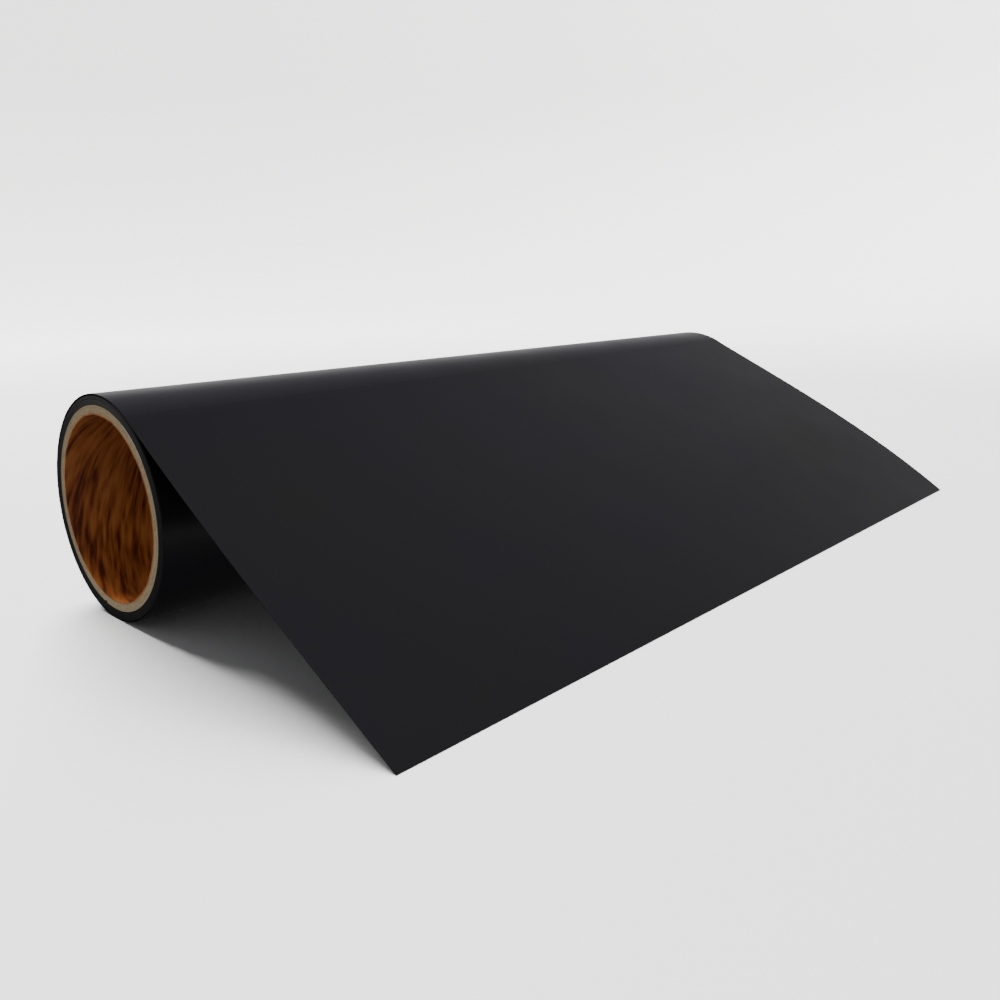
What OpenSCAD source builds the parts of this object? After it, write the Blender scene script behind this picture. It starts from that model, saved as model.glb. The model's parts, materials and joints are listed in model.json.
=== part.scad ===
// Roll of sign vinyl, lying on a table with its free end drawn out.
//
// A web of face film on a release liner is wound, film side out, on a
// spiral-wound paper core. The web comes over the top of the roll, leaves it on
// a straight line and slopes down to the table, where its cut end rests.
//
// +Y runs along the roll's axis, +X is the way the web is drawn, +Z is up.
// The origin is on the core's axis, halfway along the roll.

/* [Roll] */
// Width of the web, and length of the core
roll_w = 304.8; // [100:0.1:620]
// Whole turns of web that turn with the core, under the outermost turn
turns = 14; // [2:1:24]

/* [Core] */
// Inside diameter of the core, which a roll holder's spindle fits
core_id = 50.8; // [25:0.1:80]
// Thickness of the smooth brown ply that lines the core
inner_ply_t = 0.4; // [0.2:0.05:1]
// Thickness of each of the three grey board plies
body_ply_t = 0.6; // [0.3:0.05:1.2]
// Thickness of the fine ply round the outside of the core
outer_ply_t = 0.4; // [0.2:0.05:1]

/* [Web] */
// Thickness of the face film with the adhesive on its back
film_t = 0.065; // [0.05:0.005:0.15]
// Thickness of the release liner
liner_t = 0.1; // [0.06:0.005:0.2]

/* [Starter tape] */
// Thickness of the tape that holds the start of the web to the core
tape_t = 0.1; // [0.08:0.01:0.2]
// Width of that tape round the core
tape_w = 12; // [5:1:25]

/* [Drawn-out sheet] */
// Slope of the drawn-out sheet, down from level
sheet_slope = 30; // [20:1:60]

/* [Clearances] */
// Radial gap between the turning pack and the outermost turn
turn_clearance = 0.1; // [0.05:0.01:0.5]
// Gap in the web at the line where the sheet bends away from the roll
bend_gap = 0.05; // [0.02:0.01:0.2]

/* [Hidden] */
$fn = 180;

body_plies = 3;
half_circle = 180;

// The web's thickness is also how far each turn climbs over the last
pitch = film_t + liner_t;

bore_r = core_id / 2;
body_r = bore_r + inner_ply_t;
outer_ply_r = body_r + body_plies * body_ply_t;
core_r = outer_ply_r + outer_ply_t;

// Inside of the first wound turn, which lies on the tape
wound_r = core_r + tape_t;
// Furthest that the pack reaches, at the end of its last turn
pack_r = wound_r + (turns + 1) * pitch;
// Inside of the outermost turn where it starts, under the leaving sheet
turn_r = pack_r + turn_clearance;
// Underside of the web where the sheet leaves, which is also the height of
// the axis above the table
leave_r = turn_r + pitch;
// Length of sheet from the leaving line to the cut end on the table
sheet_l = leave_r / tan(sheet_slope / 2);

// Draws its children in the plane across the roll: their +Y points from the
// axis to the leaving line, their +X along the sheet and their Z along the axis.
module across_roll() {
    rotate([90, 0, 0])
        rotate([0, 0, -sheet_slope])
            children();
}

// A tube along the axis.
module ply(inside_r, thickness) {
    across_roll()
        rotate_extrude()
            translate([inside_r, -roll_w / 2])
                square([thickness, roll_w]);
}

// One layer of the web, wound clockwise and outwards from the leaving line.
// Each turn is two half circles. The second has its centre half a pitch nearer
// the leaving line, so that it ends one pitch further out than the turn began.
module wound_layer(start_r, thickness, turn_count) {
    across_roll()
        for (half = [0 : 2 * turn_count - 1])
            translate([0, (half % 2) * pitch / 2, 0])
                rotate([0, 0, (half % 2) * half_circle - 90])
                    rotate_extrude(angle = half_circle)
                        translate([start_r + half * pitch / 2, -roll_w / 2])
                            square([thickness, roll_w]);
}

// One flat layer of the drawn-out sheet, from just past the leaving line to
// the cut end.
module sheet_layer(underside_r, thickness) {
    across_roll()
        translate([bend_gap, underside_r, -roll_w / 2])
            cube([sheet_l - bend_gap, thickness, roll_w]);
}

// Smooth brown kraft ply, the wall of the bore.
module core_inner_ply() {
    color("#8a5523")
        ply(bore_r, inner_ply_t);
}

// Grey board plies, counted outwards from the bore.
module core_body_ply(number) {
    color("#a39a8a")
        ply(body_r + (number - 1) * body_ply_t, body_ply_t);
}

// Fine ply that the web is wound on.
module core_outer_ply() {
    color("#b5a68c")
        ply(outer_ply_r, outer_ply_t);
}

// Double-sided tape along the core, under the first edge of the web.
module starter_tape() {
    tape_angle = tape_w / core_r * half_circle / PI;
    color("#d8d2bd")
        across_roll()
            rotate([0, 0, 90 - tape_angle])
                rotate_extrude(angle = tape_angle)
                    translate([core_r, -roll_w / 2])
                        square([tape_t, roll_w]);
}

// Release liner of the turns that turn with the core.
module wound_liner() {
    color("#3a3b3f")
        wound_layer(wound_r, liner_t, turns);
}

// Face film of the turns that turn with the core.
module wound_film() {
    color("#1b1b1e")
        wound_layer(wound_r + liner_t, film_t, turns);
}

// Release liner of the outermost turn.
module outer_turn_liner() {
    color("#3a3b3f")
        wound_layer(turn_r, liner_t, 1);
}

// Face film of the outermost turn, the skin of the roll.
module outer_turn_film() {
    color("#1b1b1e")
        wound_layer(turn_r + liner_t, film_t, 1);
}

// Release liner under the drawn-out sheet.
module sheet_liner() {
    color("#3a3b3f")
        sheet_layer(leave_r, liner_t);
}

// Face film of the drawn-out sheet.
module sheet_film() {
    color("#1b1b1e")
        sheet_layer(leave_r + liner_t, film_t);
}

core_inner_ply();
core_body_ply(1);  // core_body_ply_1
core_body_ply(2);  // core_body_ply_2
core_body_ply(3);  // core_body_ply_3
core_outer_ply();
starter_tape();
wound_liner();
wound_film();
outer_turn_liner();
outer_turn_film();
sheet_liner();
sheet_film();
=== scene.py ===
"""Roll of sign vinyl on a table, its free end drawn over the top and down to the table.

Everything is in metres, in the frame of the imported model: the roll's axis is Y, the web is
drawn off towards +X, and +Z is up from the table. A slope is measured down from level, and the
web leaves the roll as far past the roll's top as its slope there. The near end is the one at
the lowest Y, and a depth is measured along the bore from it.
"""
import json
import math

import bpy
from mathutils import Euler, Matrix, Vector, noise


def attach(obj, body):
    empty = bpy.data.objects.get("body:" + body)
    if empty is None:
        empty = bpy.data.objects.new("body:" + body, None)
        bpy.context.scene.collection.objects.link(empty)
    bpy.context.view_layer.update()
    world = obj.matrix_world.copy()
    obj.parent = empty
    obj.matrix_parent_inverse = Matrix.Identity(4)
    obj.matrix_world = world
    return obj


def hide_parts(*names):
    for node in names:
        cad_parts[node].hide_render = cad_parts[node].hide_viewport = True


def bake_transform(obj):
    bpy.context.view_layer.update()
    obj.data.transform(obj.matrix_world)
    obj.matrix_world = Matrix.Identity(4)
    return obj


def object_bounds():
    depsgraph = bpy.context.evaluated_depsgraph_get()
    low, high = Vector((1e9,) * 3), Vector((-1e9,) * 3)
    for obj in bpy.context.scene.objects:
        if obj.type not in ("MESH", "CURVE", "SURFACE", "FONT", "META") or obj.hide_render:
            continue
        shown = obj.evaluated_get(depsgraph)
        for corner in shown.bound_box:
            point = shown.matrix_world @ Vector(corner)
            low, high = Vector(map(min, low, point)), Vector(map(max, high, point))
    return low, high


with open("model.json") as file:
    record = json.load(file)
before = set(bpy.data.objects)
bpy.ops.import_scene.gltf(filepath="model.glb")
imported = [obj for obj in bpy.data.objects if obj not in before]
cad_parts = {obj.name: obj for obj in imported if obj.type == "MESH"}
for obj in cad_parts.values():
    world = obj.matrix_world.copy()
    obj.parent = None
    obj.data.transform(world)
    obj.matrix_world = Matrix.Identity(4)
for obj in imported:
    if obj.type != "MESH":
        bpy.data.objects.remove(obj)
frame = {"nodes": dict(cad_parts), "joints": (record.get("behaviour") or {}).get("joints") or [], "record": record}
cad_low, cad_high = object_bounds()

bl_info = {
    "name": "Roll of sign vinyl",
    "version": (1, 0, 0),
    "blender": (4, 5, 0),
    "location": "3D View > Sidebar > Vinyl roll",
    "description": "Builds a roll of black sign vinyl on a paper core, with its end drawn out",
    "category": "Object",
}

MM = 0.001
FULL_TURN = 2 * math.pi
# The core's plies from the bore outwards: each CAD node, and the piece that stands for it
PLIES = {
    "core_inner_ply": "bore_lining",
    "core_body_ply_1": "board_ply_1",
    "core_body_ply_2": "board_ply_2",
    "core_body_ply_3": "board_ply_3",
    "core_outer_ply": "core_wrap",
}
# Steps round a full turn: a flat between two of them is out by under a hundredth of a mm
STEPS = 128
# Points closer than this are one point
WELD = 0.001 * MM
# Edges sharper than this stay sharp in the shading
SHARP_ANGLE = math.radians(30)


# ---------------------------------------------------------------- sizes from the frame

def radii(node_name):
    """Least and greatest distance of a CAD node's points from the roll's axis."""
    reach = [math.hypot(v.co.x, v.co.z) for v in frame["nodes"][node_name].data.vertices]
    return min(reach), max(reach)


def mount(name):
    return next(m for m in frame["record"]["mounts"] if m["name"] == name)


def joint(name):
    return next(j for j in frame["joints"] if j["name"] == name)


ROLL_W = mount("core_bore")["dims"]["length_mm"] * MM
NEAR_END = -ROLL_W / 2
FAR_END = ROLL_W / 2
# The web bends up about the film's top face, at the line where the sheet leaves the roll
LIFT_LINE = Vector(joint("sheet_lift")["pos_m"])
LEAVING_SLOPE = math.atan2(LIFT_LINE.x, LIFT_LINE.z)
TABLE_Z = cad_low.z
# The sheet's underside leaves from the outside of the roll, one web's thickness below that line
LEAVE_R = -TABLE_Z
PITCH = LIFT_LINE.length - LEAVE_R
LINER_T = radii("wound_film")[0] - radii("wound_liner")[0]
FILM_T = PITCH - LINER_T
TURNS = round((radii("wound_film")[1] - radii("wound_film")[0] - FILM_T) / PITCH)


# ---------------------------------------------------------------- sizes and colours to set

def linear(hex_colour):
    """An sRGB colour such as #1a2b3c as linear red, green, blue and alpha."""
    parts = [int(hex_colour[i:i + 2], 16) / 255 for i in (1, 3, 5)]
    return tuple(p / 12.92 if p <= 0.04045 else ((p + 0.055) / 1.055) ** 2.4 for p in parts) + (1.0,)


def length_property(name, description, default):
    return bpy.props.FloatProperty(
        name=name, description=description, default=default, min=0.0, precision=5, unit="LENGTH"
    )


def angle_property(name, description, degrees):
    return bpy.props.FloatProperty(
        name=name, description=description, default=math.radians(degrees), unit="ROTATION"
    )


def colour_property(name, description, hex_colour):
    return bpy.props.FloatVectorProperty(
        name=name, description=description, default=linear(hex_colour), size=4,
        min=0.0, max=1.0, subtype="COLOR"
    )


class VinylRollCoreSettings(bpy.types.PropertyGroup):
    """The spiral-wound paper core"""

    strip: length_property(
        "Strip", "How far along the core a paper strip gets in one turn", 64 * MM
    )
    seam_gap: length_property(
        "Seam gap", "Gap between the butted edges of a paper strip", 0.4 * MM
    )
    seam_depth: length_property(
        "Seam depth", "Depth of the lining's seam where it crosses the +X side", 18 * MM
    )
    stagger: length_property(
        "Stagger", "How far each ply's seam is set along from the last ply's", 23 * MM
    )
    trim: length_property(
        "Trim", "How far the saw leaves one ply behind the next at the core's end", 0.05 * MM
    )


class VinylRollWebSettings(bpy.types.PropertyGroup):
    """The wound web and the sheet drawn from it"""

    wander: length_property(
        "Wander", "How far a wound turn strays sideways at the roll's ends", 0.07 * MM
    )
    near_slope: angle_property("Near slope", "Slope at which the near edge leaves the roll", 34)
    near_rest: angle_property("Near rest", "Slope of the near edge where it meets the table", 29)
    near_reach: length_property(
        "Near reach", "Distance from the axis to the near corner on the table", 113.5 * MM
    )
    far_slope: angle_property("Far slope", "Slope at which the far edge leaves the roll", 26.5)
    far_rest: angle_property("Far rest", "Slope of the far edge where it meets the table", 36)
    far_reach: length_property(
        "Far reach", "Distance from the axis to the far corner on the table", 119.7 * MM
    )


class VinylRollColours(bpy.types.PropertyGroup):
    """Colours of the materials"""

    film: colour_property("Film", "Black of the face film", "#171718")
    film_cool: colour_property("Film, cool", "Bluish cast in the film's black", "#17161c")
    liner: colour_property("Liner", "Smoke-dark release liner", "#1f2023")
    liner_deep: colour_property("Liner, deep", "Darkest of the liner's mottle", "#161719")
    kraft_light: colour_property("Kraft, light", "Lightest of the lining's streaks", "#a96733")
    kraft_mid: colour_property("Kraft, middle", "Middle of the lining's streaks", "#8f5023")
    kraft_dark: colour_property("Kraft, dark", "Darkest of the lining's streaks", "#58220f")
    board_light: colour_property("Board, light", "Light fibre of the core's board", "#a29072")
    board_dark: colour_property("Board, dark", "Dark fibre of the core's board", "#8b7b5f")
    fine: colour_property("Fine ply", "Tan paper round the core", "#9a8b72")
    tape: colour_property("Tape", "Tissue tape", "#cfc8b4")
    tape_wisp: colour_property("Tape, wisps", "Pale fibres in the tissue", "#e6e1d2")
    floor: colour_property("Floor", "Pale studio floor", "#f4f4f2")
    floor_shade: colour_property("Floor, shade", "Slightly darker drift in the floor", "#f1f1f0")


# ---------------------------------------------------------------- modelling by hand

def start_clean():
    """Object mode with nothing selected."""
    if bpy.context.object and bpy.context.object.mode != "OBJECT":
        bpy.ops.object.mode_set(mode="OBJECT")
    bpy.ops.object.select_all(action="DESELECT")


def name_piece(name):
    piece = bpy.context.object
    piece.name = name
    piece.data.name = name
    return piece


def apply_modifier(piece, kind, **settings):
    """Adds a modifier with these settings and applies it at once."""
    modifier = piece.modifiers.new(kind.title(), kind)
    for key, value in settings.items():
        setattr(modifier, key, value)
    bpy.ops.object.modifier_apply(modifier=modifier.name)


def smooth(piece):
    start_clean()
    piece.select_set(True)
    bpy.context.view_layer.objects.active = piece
    bpy.ops.object.shade_smooth_by_angle(angle=SHARP_ANGLE)


def close_mesh(piece):
    """Welds the active piece's seams, turns its faces outwards and shades it smooth."""
    bpy.ops.object.mode_set(mode="EDIT")
    bpy.ops.mesh.select_all(action="SELECT")
    bpy.ops.mesh.remove_doubles(threshold=WELD)
    bpy.ops.mesh.normals_make_consistent(inside=False)
    bpy.ops.object.mode_set(mode="OBJECT")
    smooth(piece)


def select_edges(wanted):
    """Selects, in edit mode, the edges whose two ends pass the test."""
    bpy.ops.mesh.select_all(action="DESELECT")
    bpy.ops.object.mode_set(mode="OBJECT")
    mesh = bpy.context.object.data
    for edge in mesh.edges:
        edge.select = wanted(*(mesh.vertices[i] for i in edge.vertices))
    bpy.ops.object.mode_set(mode="EDIT")


def strip_profile(inside_r, thickness, low_y, high_y, cuts=0):
    """A strip's section along the roll, on its +X side, left in edit mode.

    cuts is how many points divide each of its two long edges.
    """
    start_clean()
    bpy.ops.mesh.primitive_plane_add(size=1)
    bpy.ops.object.mode_set(mode="EDIT")
    bpy.ops.mesh.select_all(action="SELECT")
    bpy.ops.transform.resize(value=(thickness, high_y - low_y, 1), center_override=(0, 0, 0))
    bpy.ops.transform.translate(value=(inside_r + thickness / 2, (low_y + high_y) / 2, 0))
    if cuts:
        select_edges(lambda a, b: abs(a.co.x - b.co.x) < thickness / 2)
        bpy.ops.mesh.subdivide(number_cuts=cuts)
        bpy.ops.mesh.select_all(action="SELECT")


# ---------------------------------------------------------------- materials

def node(tree, kind, inputs=None, stops=None, **settings):
    """Adds a node. inputs gives its sockets values or links, and stops a ramp's colours."""
    made = tree.nodes.new(kind)
    for key, value in settings.items():
        setattr(made, key, value)
    for socket, value in (inputs or {}).items():
        if isinstance(value, bpy.types.NodeSocket):
            tree.links.new(value, made.inputs[socket])
        else:
            made.inputs[socket].default_value = value
    for index, (place, colour) in enumerate(stops or []):
        ramp = made.color_ramp.elements
        stop = ramp[index] if index < len(ramp) else ramp.new(place)
        stop.position = place
        stop.color = colour
    return made


def new_material(name):
    """An empty node material, its tree, and its surface shader joined to the output."""
    material = bpy.data.materials.new(name)
    material.use_nodes = True
    tree = material.node_tree
    tree.nodes.clear()
    shader = node(tree, "ShaderNodeBsdfPrincipled")
    node(tree, "ShaderNodeOutputMaterial", {"Surface": shader.outputs["BSDF"]})
    return material, tree, shader


def per_mm(size_mm):
    """Noise scale, in cells per metre, that gives a pattern of this size."""
    return 1 / (size_mm * MM)


def calendered_vinyl(colours):
    """Matt black PVC film, calendered: a soft even sheen, broken up by a very fine emboss."""
    material, tree, shader = new_material("calendered_vinyl")
    place = node(tree, "ShaderNodeTexCoord").outputs["Object"]
    # Broad, faint drift of the black from neutral to cool
    cast = node(tree, "ShaderNodeTexNoise", {"Vector": place, "Scale": per_mm(70), "Detail": 2.0})
    black = node(
        tree, "ShaderNodeValToRGB", {"Fac": cast.outputs["Fac"]},
        stops=[(0.35, colours.film), (0.65, colours.film_cool)],
    )
    # The emboss is finer than this on the real film, and is drawn as coarse as it can show
    emboss = node(tree, "ShaderNodeTexNoise", {"Vector": place, "Scale": per_mm(0.5), "Detail": 3.0})
    haze = node(tree, "ShaderNodeTexNoise", {"Vector": place, "Scale": per_mm(25), "Detail": 3.0})
    sheen = node(
        tree, "ShaderNodeMapRange",
        {
            "Value": haze.outputs["Fac"], "From Min": 0.3, "From Max": 0.7,
            "To Min": 0.34, "To Max": 0.39,
        },
    )
    relief = node(
        tree, "ShaderNodeBump",
        {"Height": emboss.outputs["Fac"], "Strength": 0.25, "Distance": 0.02 * MM},
    )
    shader.inputs["IOR"].default_value = 1.5
    tree.links.new(black.outputs["Color"], shader.inputs["Base Color"])
    tree.links.new(sheen.outputs["Result"], shader.inputs["Roughness"])
    tree.links.new(relief.outputs["Normal"], shader.inputs["Normal"])
    return material


def coated_liner_paper(colours):
    """Smoke-dark silicone-coated liner: smoother than the film, with faint paper mottle."""
    material, tree, shader = new_material("coated_liner_paper")
    place = node(tree, "ShaderNodeTexCoord").outputs["Object"]
    mottle = node(tree, "ShaderNodeTexNoise", {"Vector": place, "Scale": per_mm(2.5), "Detail": 5.0})
    dark = node(
        tree, "ShaderNodeMixRGB",
        {"Fac": mottle.outputs["Fac"], "Color1": colours.liner, "Color2": colours.liner_deep},
    )
    relief = node(
        tree, "ShaderNodeBump",
        {"Height": mottle.outputs["Fac"], "Strength": 0.2, "Distance": 0.02 * MM},
    )
    shader.inputs["Roughness"].default_value = 0.38
    tree.links.new(dark.outputs["Color"], shader.inputs["Base Color"])
    tree.links.new(relief.outputs["Normal"], shader.inputs["Normal"])
    return material


def along_the_strip(tree, strip):
    """Object coordinates turned back with depth, so that a pattern runs along a wound strip."""
    place = node(tree, "ShaderNodeTexCoord").outputs["Object"]
    parts = node(tree, "ShaderNodeSeparateXYZ", {"Vector": place})
    angle = node(
        tree, "ShaderNodeMath", {0: parts.outputs["Y"], 1: -FULL_TURN / strip},
        operation="MULTIPLY",
    )
    turned = node(
        tree, "ShaderNodeVectorRotate", {"Vector": place, "Angle": angle.outputs["Value"]},
        rotation_type="Y_AXIS",
    )
    return turned.outputs["Vector"]


def streaked_kraft(colours, strip):
    """Smooth brown kraft lining paper: long soft streaks of dark fibre along the strip."""
    material, tree, shader = new_material("streaked_kraft")
    along = along_the_strip(tree, strip)
    # Turned back like this, a cell of 3.4 mm is a streak 1.3 mm wide and about 9 mm long
    streak = node(
        tree, "ShaderNodeTexNoise",
        {"Vector": along, "Scale": per_mm(3.4), "Detail": 1.5, "Roughness": 0.55},
    )
    cloud = node(tree, "ShaderNodeTexNoise", {"Vector": along, "Scale": per_mm(14), "Detail": 2.0})
    both = node(
        tree, "ShaderNodeMixRGB",
        {"Fac": 0.35, "Color1": streak.outputs["Fac"], "Color2": cloud.outputs["Fac"]},
    )
    brown = node(
        tree, "ShaderNodeValToRGB", {"Fac": both.outputs["Color"]},
        stops=[(0.36, colours.kraft_dark), (0.49, colours.kraft_mid), (0.62, colours.kraft_light)],
    )
    fibre = node(tree, "ShaderNodeTexNoise", {"Vector": along, "Scale": per_mm(0.6), "Detail": 3.0})
    relief = node(
        tree, "ShaderNodeBump",
        {"Height": fibre.outputs["Fac"], "Strength": 0.3, "Distance": 0.03 * MM},
    )
    shader.inputs["Roughness"].default_value = 0.62
    tree.links.new(brown.outputs["Color"], shader.inputs["Base Color"])
    tree.links.new(relief.outputs["Normal"], shader.inputs["Normal"])
    return material


def sawn_paper(name, light, dark, fleck_mm, relief_mm):
    """Paper ply cut across: a dull, felted edge of light and dark fibres."""
    material, tree, shader = new_material(name)
    place = node(tree, "ShaderNodeTexCoord").outputs["Object"]
    fleck = node(
        tree, "ShaderNodeTexNoise",
        {"Vector": place, "Scale": per_mm(fleck_mm), "Detail": 6.0, "Roughness": 0.6},
    )
    grey = node(
        tree, "ShaderNodeValToRGB", {"Fac": fleck.outputs["Fac"]},
        stops=[(0.38, dark), (0.62, light)],
    )
    relief = node(
        tree, "ShaderNodeBump",
        {"Height": fleck.outputs["Fac"], "Strength": 0.6, "Distance": relief_mm * MM},
    )
    shader.inputs["Roughness"].default_value = 0.9
    tree.links.new(grey.outputs["Color"], shader.inputs["Base Color"])
    tree.links.new(relief.outputs["Normal"], shader.inputs["Normal"])
    return material


def grey_board(colours):
    """Recycled chipboard: grey-beige, speckled and rough where it is sawn."""
    return sawn_paper("grey_board", colours.board_light, colours.board_dark, 0.7, 0.08)


def fine_tan_paper(colours):
    """Fine tan paper: closer and smoother than the board."""
    return sawn_paper("fine_tan_paper", colours.fine, colours.board_dark, 0.35, 0.03)


def tissue_tape(colours):
    """Double-sided tissue tape: off-white, with wispy fibres under clear adhesive."""
    material, tree, shader = new_material("tissue_tape")
    place = node(tree, "ShaderNodeTexCoord").outputs["Object"]
    wisps = node(
        tree, "ShaderNodeTexNoise",
        {"Vector": place, "Scale": per_mm(1.5), "Detail": 6.0, "Distortion": 1.5},
    )
    pale = node(
        tree, "ShaderNodeMixRGB",
        {"Fac": wisps.outputs["Fac"], "Color1": colours.tape, "Color2": colours.tape_wisp},
    )
    shader.inputs["Roughness"].default_value = 0.35
    tree.links.new(pale.outputs["Color"], shader.inputs["Base Color"])
    return material


def seamless_paper(colours):
    """Studio background paper: pale, matt and nearly even."""
    material, tree, shader = new_material("seamless_paper")
    place = node(tree, "ShaderNodeTexCoord").outputs["Object"]
    drift = node(tree, "ShaderNodeTexNoise", {"Vector": place, "Scale": per_mm(400), "Detail": 1.0})
    pale = node(
        tree, "ShaderNodeMixRGB",
        {"Fac": drift.outputs["Fac"], "Color1": colours.floor, "Color2": colours.floor_shade},
    )
    # A wash of light that rises with distance, as background lights give it
    distance = node(tree, "ShaderNodeVectorMath", {0: place}, operation="LENGTH")
    wash = node(
        tree, "ShaderNodeMapRange",
        {"Value": distance.outputs["Value"], "From Min": 0.5, "From Max": 1.8, "To Max": 2.4},
    )
    shader.inputs["Roughness"].default_value = 0.95
    shader.inputs["Emission Color"].default_value = colours.floor
    tree.links.new(pale.outputs["Color"], shader.inputs["Base Color"])
    tree.links.new(wash.outputs["Result"], shader.inputs["Emission Strength"])
    return material


def finish_piece(piece, material, body=None, stands_for=()):
    """Gives a piece its material, hides the CAD parts it stands for and hangs it from its body."""
    piece.data.materials.clear()
    piece.data.materials.append(material)
    if stands_for:
        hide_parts(*stands_for)
    if body:
        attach(piece, body)
    return piece


# ---------------------------------------------------------------- the paper core

def wind_ply(name, cad_node, seam_y, trim, core):
    """A paper strip wound in a helix, its edges butted, and sawn square at both ends."""
    inside_r, outside_r = radii(cad_node)
    # The helix runs over both ends, to be sawn off there
    first_y = seam_y - core.strip * math.ceil((seam_y - NEAR_END) / core.strip + 1)
    strip_profile(
        inside_r, outside_r - inside_r,
        first_y + core.seam_gap / 2, first_y + core.strip - core.seam_gap / 2,
    )
    bpy.ops.mesh.delete(type="ONLY_FACE")
    bpy.ops.object.mode_set(mode="OBJECT")
    piece = name_piece(name)
    apply_modifier(
        piece, "SCREW", axis="Y", angle=FULL_TURN, screw_offset=core.strip,
        iterations=math.ceil(ROLL_W / core.strip) + 2, steps=STEPS, render_steps=STEPS,
        use_merge_vertices=True, merge_threshold=WELD,
    )
    bpy.ops.object.mode_set(mode="EDIT")
    for end_y, outward in ((NEAR_END + trim, -1), (FAR_END - trim, 1)):
        bpy.ops.mesh.select_all(action="SELECT")
        bpy.ops.mesh.bisect(
            plane_co=(0, end_y, 0), plane_no=(0, outward, 0), use_fill=True, clear_outer=True
        )
    bpy.ops.object.mode_set(mode="OBJECT")
    close_mesh(piece)
    return piece


class VINYLROLL_OT_wind_core(bpy.types.Operator):
    """Winds the core's five paper plies and saws them to length"""

    bl_idname = "vinyl_roll.wind_core"
    bl_label = "Wind the core"

    def execute(self, context):
        core = context.scene.vinyl_roll_core
        colours = context.scene.vinyl_roll_colours
        board = (grey_board(colours), "board_ply")
        lining = (streaked_kraft(colours, core.strip), "brown_ply")
        wrap = (fine_tan_paper(colours), "fine_ply")
        papers = (lining, board, board, board, wrap)
        for place, ((cad_node, name), paper) in enumerate(zip(PLIES.items(), papers)):
            material, slot_name = paper
            seam_y = NEAR_END + core.seam_depth + place * core.stagger
            # The saw leaves every other ply a hair shorter, which shows the lines between them
            trim = core.trim * (place % 2)
            piece = wind_ply(name, cad_node, seam_y, trim, core)
            finish_piece(piece, material, "roll", [cad_node])
        return {"FINISHED"}


class VINYLROLL_OT_stick_starter_tape(bpy.types.Operator):
    """Finishes the tape that holds the start of the web to the core"""

    bl_idname = "vinyl_roll.stick_starter_tape"
    bl_label = "Stick the starter tape"

    def execute(self, context):
        tape = frame["nodes"]["starter_tape"]
        finish_piece(tape, tissue_tape(context.scene.vinyl_roll_colours))
        return {"FINISHED"}


# ---------------------------------------------------------------- the wound web

def web_layers():
    """The web's two layers: name, height above the web's underside, thickness, slot, material."""
    colours = bpy.context.scene.vinyl_roll_colours
    if "calendered_vinyl" not in bpy.data.materials:
        calendered_vinyl(colours)
        coated_liner_paper(colours)
    return (
        ("liner", 0, LINER_T, "liner", bpy.data.materials["coated_liner_paper"]),
        ("film", LINER_T, FILM_T, "face_film", bpy.data.materials["calendered_vinyl"]),
    )


def wind_layer(name, start_r, thickness, turns, cuts=0):
    """One layer of the web, wound outwards from the leaving line, two half circles a turn."""
    strip_profile(start_r, thickness, NEAR_END, FAR_END, cuts)
    for half in range(2 * turns):
        # The second half circle of a turn has its centre half a pitch nearer the leaving line
        centre = ((half % 2) * PITCH / 2, 0, 0)
        bpy.ops.mesh.spin(steps=STEPS // 2, angle=-math.pi, center=centre, axis=(0, 1, 0))
    bpy.ops.object.mode_set(mode="OBJECT")
    piece = name_piece(name)
    piece.rotation_euler.y = LEAVING_SLOPE - math.pi / 2
    bpy.ops.object.transform_apply(rotation=True)
    return piece


def stray_sideways(piece, wander):
    """Moves the two edges of each wound turn in, by up to wander, as uneven winding does."""
    # The stray drifts every 40 mm round a turn, and is nearly new on each turn
    round_scale, turn_scale = per_mm(40), 0.9
    for vertex in piece.data.vertices:
        point = vertex.co
        if abs(point.y) > FAR_END - MM:
            turn = math.hypot(point.x, point.z) / PITCH
            drift = noise.noise(
                Vector((point.x * round_scale, point.z * round_scale, turn * turn_scale))
            )
            point.y -= math.copysign(wander * (0.5 + 0.5 * drift), point.y)


class VINYLROLL_OT_wind_web(bpy.types.Operator):
    """Winds the turns of liner and film that turn with the core"""

    bl_idname = "vinyl_roll.wind_web"
    bl_label = "Wind the web"

    def execute(self, context):
        web = context.scene.vinyl_roll_web
        start_r = radii("wound_liner")[0]
        for layer, height, thickness, slot_name, material in web_layers():
            piece = wind_layer(f"{layer}_turns", start_r + height, thickness, TURNS)
            stray_sideways(piece, web.wander)
            close_mesh(piece)
            finish_piece(piece, material, "roll", [f"wound_{layer}"])
        return {"FINISHED"}


class VINYLROLL_OT_wrap_outer_turn(bpy.types.Operator):
    """Wraps the outermost turn, the skin of the roll, round the wound turns"""

    bl_idname = "vinyl_roll.wrap_outer_turn"
    bl_label = "Wrap the outermost turn"

    def execute(self, context):
        start_r = radii("outer_turn_liner")[0]
        for layer, height, thickness, slot_name, material in web_layers():
            # The one turn that shows from outside is cut along the roll, so its faces aren't slivers
            piece = wind_layer(f"{layer}_skin", start_r + height, thickness, 1, cuts=23)
            close_mesh(piece)
            finish_piece(piece, material, "outer_turn", [f"outer_turn_{layer}"])
        return {"FINISHED"}


# ---------------------------------------------------------------- the drawn-out sheet

def across(y, near, far):
    """A value that changes evenly from the near edge of the web to the far edge."""
    share = (y - NEAR_END) / ROLL_W
    return near + (far - near) * share


def downhill(slope):
    """The direction in which a web with this slope runs off the roll."""
    return Vector((math.cos(slope), 0, -math.sin(slope)))


def off_roll(slope):
    """The direction out of the roll's side where its surface has this slope."""
    return Vector((math.sin(slope), 0, math.cos(slope)))


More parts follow.
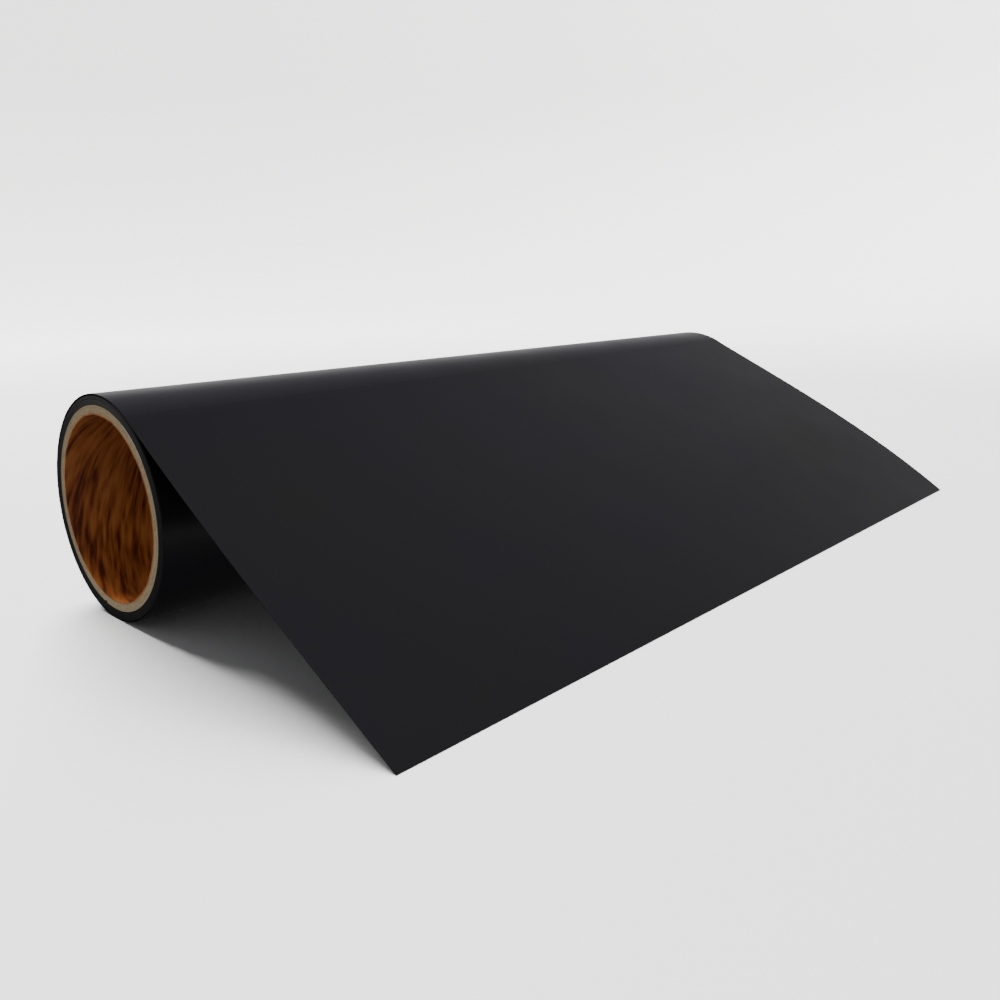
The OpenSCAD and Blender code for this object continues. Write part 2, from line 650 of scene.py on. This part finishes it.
def sheet_path(y, web, samples=160, roll_steps=5):
    """The sheet's underside at this y, from the leaving line to the table: (place, normal)."""
    slope = across(y, web.near_slope, web.far_slope)
    rest = across(y, web.near_rest, web.far_rest)
    reach = across(y, web.near_reach, web.far_reach)
    clear_slope = max(slope, LEAVING_SLOPE)
    path = []
    # An edge that leaves the roll past the leaving line lies on the roll until there
    if clear_slope > LEAVING_SLOPE:
        for step in range(roll_steps):
            angle = LEAVING_SLOPE + (clear_slope - LEAVING_SLOPE) * step / roll_steps
            path.append((off_roll(angle) * LEAVE_R, off_roll(angle)))
    # From there a smooth cubic curve runs down to the table
    start, end = off_roll(clear_slope) * LEAVE_R, Vector((reach, 0, TABLE_Z))
    third = (end - start).length / 3
    one, two = start + downhill(slope) * third, end - downhill(rest) * third
    for step in range(samples + 1):
        t = step / samples
        s = 1 - t
        place = start * s ** 3 + one * (3 * s * s * t) + two * (3 * s * t * t) + end * t ** 3
        along = (one - start) * (s * s) + (two - one) * (2 * s * t) + (end - two) * (t * t)
        along.normalize()
        path.append((place, Vector((-along.z, 0, along.x))))
    return path


def lay_on_path(path):
    """The path's length, and a function that gives the place and normal at a share of it."""
    lengths = [0.0]
    for (a, _), (b, _) in zip(path, path[1:]):
        lengths.append(lengths[-1] + (b - a).length)

    def at(share):
        wanted = share * lengths[-1]
        index = 1
        while index < len(lengths) - 1 and lengths[index] < wanted:
            index += 1
        part = (wanted - lengths[index - 1]) / (lengths[index] - lengths[index - 1])
        (a, na), (b, nb) = path[index - 1], path[index]
        return a.lerp(b, part), na.lerp(nb, part).normalized()

    return lengths[-1], at


def draw_out_layer(name, height, thickness, web):
    """One layer of the drawn-out sheet, this high above its underside, and its mean length."""
    start_clean()
    along_steps, across_steps = 90, 40
    bpy.ops.mesh.primitive_grid_add(x_subdivisions=along_steps, y_subdivisions=across_steps, size=1)
    piece = name_piece(name)
    rows = {}
    for vertex in piece.data.vertices:
        share, row = vertex.co.x + 0.5, round((vertex.co.y + 0.5) * across_steps)
        y = NEAR_END + ROLL_W * row / across_steps
        if row not in rows:
            rows[row] = lay_on_path(sheet_path(y, web))
        place, up = rows[row][1](share)
        vertex.co = place + up * height
        vertex.co.y = y
    apply_modifier(piece, "SOLIDIFY", thickness=thickness, offset=1, use_even_offset=True)
    close_mesh(piece)
    return piece, sum(length for length, _ in rows.values()) / len(rows)


class VINYLROLL_OT_draw_out_sheet(bpy.types.Operator):
    """Draws the free end of the web off the roll and down to the table"""

    bl_idname = "vinyl_roll.draw_out_sheet"
    bl_label = "Draw out the sheet"

    bend: bpy.props.FloatProperty(
        name="Bend", description="Length of web that bends as the sheet is lifted",
        default=22 * MM, unit="LENGTH",
    )

    def execute(self, context):
        web = context.scene.vinyl_roll_web
        for layer, height, thickness, slot_name, material in web_layers():
            piece, length = draw_out_layer(f"drawn_{layer}", height, thickness, web)
            finish_piece(piece, material, stands_for=[f"sheet_{layer}"])
            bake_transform(piece)
        return {"FINISHED"}


# ---------------------------------------------------------------- the stage

def add_softbox(name, place, aim, size, watts):
    """A square studio light that faces a point."""
    start_clean()
    bpy.ops.object.light_add(type="AREA", location=place)
    light = bpy.context.object
    light.name = name
    light.rotation_euler = (Vector(aim) - Vector(place)).to_track_quat("-Z", "Y").to_euler()
    light.data.size = size
    light.data.energy = watts
    # The film mirrors the room alone, so its sheen stays broad and even
    light.visible_glossy = False
    light.visible_camera = False
    return light


def dim_room():
    """A dark room, palest at the horizon and nearly black below it."""
    world = bpy.data.worlds.new("dim_room")
    world.use_nodes = True
    tree = world.node_tree
    direction = node(tree, "ShaderNodeTexCoord").outputs["Generated"]
    # The pale band stands a little higher behind the roll, on the key light's side
    height = node(
        tree, "ShaderNodeVectorMath", {0: direction, 1: (0.2, 0.0, 1.0)}, operation="DOT_PRODUCT"
    )
    # From straight down at 0 to straight up at 1
    share = node(
        tree, "ShaderNodeMapRange",
        {"Value": height.outputs["Value"], "From Min": -1.0, "From Max": 1.0},
    )
    pale = (1.1, 1.1, 1.1, 1)
    grey = node(
        tree, "ShaderNodeValToRGB", {"Fac": share.outputs["Result"]},
        stops=[
            (0.0, (0.02, 0.02, 0.02, 1)), (0.38, (0.05, 0.05, 0.05, 1)), (0.44, pale), (0.54, pale),
            (0.64, (0.22, 0.22, 0.23, 1)), (1.0, (0.21, 0.21, 0.22, 1)),
        ],
    )
    tree.links.new(grey.outputs["Color"], tree.nodes["Background"].inputs["Color"])
    return world


class VINYLROLL_OT_set_stage(bpy.types.Operator):
    """Sets up the pale floor and its curved-up rim, the soft lights and the camera"""

    bl_idname = "vinyl_roll.set_stage"
    bl_label = "Set the stage"

    def execute(self, context):
        self.roll_out_floor(context)
        self.hang_lights(context)
        self.place_camera(context)
        return {"FINISHED"}

    def roll_out_floor(self, context):
        """A round floor whose rim curves up into a low wall, pale from every side."""
        floor_r, cove_r, wall_h, cove_steps = 1.3, 0.5, 0.5, 10
        start_clean()
        bpy.ops.mesh.primitive_circle_add(vertices=96, radius=floor_r, fill_type="NGON")
        floor = name_piece("floor")
        bpy.ops.object.mode_set(mode="EDIT")
        bpy.ops.mesh.select_all(action="SELECT")
        bpy.ops.transform.translate(value=(0, 0, TABLE_Z))
        rim_r, rim_z = floor_r, TABLE_Z
        heights = [
            (floor_r + cove_r * math.sin(a), TABLE_Z + cove_r * (1 - math.cos(a)))
            for a in (math.pi / 2 * step / cove_steps for step in range(1, cove_steps + 1))
        ]
        heights.append((floor_r + cove_r, TABLE_Z + cove_r + wall_h))
        select_edges(lambda a, b: min(a.co.xy.length, b.co.xy.length) > floor_r - MM)
        for next_r, next_z in heights:
            bpy.ops.mesh.extrude_edges_move(TRANSFORM_OT_translate={"value": (0, 0, next_z - rim_z)})
            grow = next_r / rim_r
            bpy.ops.transform.resize(value=(grow, grow, 1), center_override=(0, 0, 0))
            rim_r, rim_z = next_r, next_z
        bpy.ops.object.mode_set(mode="OBJECT")
        smooth(floor)
        floor.data.materials.append(seamless_paper(context.scene.vinyl_roll_colours))
        # Kept out of the film's sheen and off the roll's ends, as black flags would keep it
        floor.visible_glossy = False
        floor.visible_diffuse = False

    def hang_lights(self, context):
        """A broad light behind the roll, what the table gives back, and a dim room."""
        add_softbox("key_softbox", (-2.2, 0.4, 2.4), aim=(0, 0, 0), size=2.0, watts=500)
        # Stands for the table's own bounce, which is flagged to about an eighth of its strength
        add_softbox("table_bounce", (0, 0, TABLE_Z + MM), aim=(0, 0, 1), size=1.6, watts=2.8)
        # Reaches into the bore and is flagged off all but the core
        core = bpy.data.collections.new("core")
        for name in PLIES.values():
            core.objects.link(bpy.data.objects[name])
        lamp = add_softbox("bore_lamp", (0.5, -1.5, 1.2), aim=(0, NEAR_END, 0), size=0.8, watts=8)
        lamp.light_linking.receiver_collection = core
        context.scene.world = dim_room()

    def place_camera(self, context):
        """A camera near the table, looking along the roll from its near end."""
        start_clean()
        bpy.ops.object.camera_add(location=(0.2245, -0.2504, 0.0598))
        camera = bpy.context.object
        camera.name = "camera"
        yaw, pitch, roll = (math.radians(a) for a in (-44.41, -12.43, -0.65))
        aim = Euler((math.pi / 2 + pitch, 0, -yaw)).to_matrix() @ Matrix.Rotation(roll, 3, "Z")
        camera.rotation_euler = aim.to_euler()
        camera.data.lens = 31.7
        camera.data.shift_x = 0.05
        camera.data.shift_y = -0.03
        camera.data.clip_start = 0.01
        context.scene.camera = camera


# ---------------------------------------------------------------- the add-on

class VINYLROLL_PT_sidebar(bpy.types.Panel):
    """Lists the roll's settings and the steps that build it"""

    bl_idname = "VINYLROLL_PT_sidebar"
    bl_label = "Vinyl roll"
    bl_space_type = "VIEW_3D"
    bl_region_type = "UI"
    bl_category = "Vinyl roll"

    def draw(self, context):
        for settings in (
            context.scene.vinyl_roll_core,
            context.scene.vinyl_roll_web,
            context.scene.vinyl_roll_colours,
        ):
            column = self.layout.column(align=True)
            for key in settings.__annotations__:
                column.prop(settings, key)
        for step in BUILD_STEPS:
            self.layout.operator(step.bl_idname)


BUILD_STEPS = (
    VINYLROLL_OT_wind_core,
    VINYLROLL_OT_stick_starter_tape,
    VINYLROLL_OT_wind_web,
    VINYLROLL_OT_wrap_outer_turn,
    VINYLROLL_OT_draw_out_sheet,
    VINYLROLL_OT_set_stage,
)
SETTINGS = {
    "vinyl_roll_core": VinylRollCoreSettings,
    "vinyl_roll_web": VinylRollWebSettings,
    "vinyl_roll_colours": VinylRollColours,
}


def register():
    for group in SETTINGS.values():
        bpy.utils.register_class(group)
    for name, group in SETTINGS.items():
        setattr(bpy.types.Scene, name, bpy.props.PointerProperty(type=group))
    for step in BUILD_STEPS:
        bpy.utils.register_class(step)
    bpy.utils.register_class(VINYLROLL_PT_sidebar)


def unregister():
    bpy.utils.unregister_class(VINYLROLL_PT_sidebar)
    for step in reversed(BUILD_STEPS):
        bpy.utils.unregister_class(step)
    for name, group in SETTINGS.items():
        delattr(bpy.types.Scene, name)
        bpy.utils.unregister_class(group)


def main():
    register()
    bpy.ops.vinyl_roll.wind_core()
    bpy.ops.vinyl_roll.stick_starter_tape()
    bpy.ops.vinyl_roll.wind_web()
    bpy.ops.vinyl_roll.wrap_outer_turn()
    bpy.ops.vinyl_roll.draw_out_sheet()
    bpy.ops.vinyl_roll.set_stage()


if __name__ == "__main__":
    main()
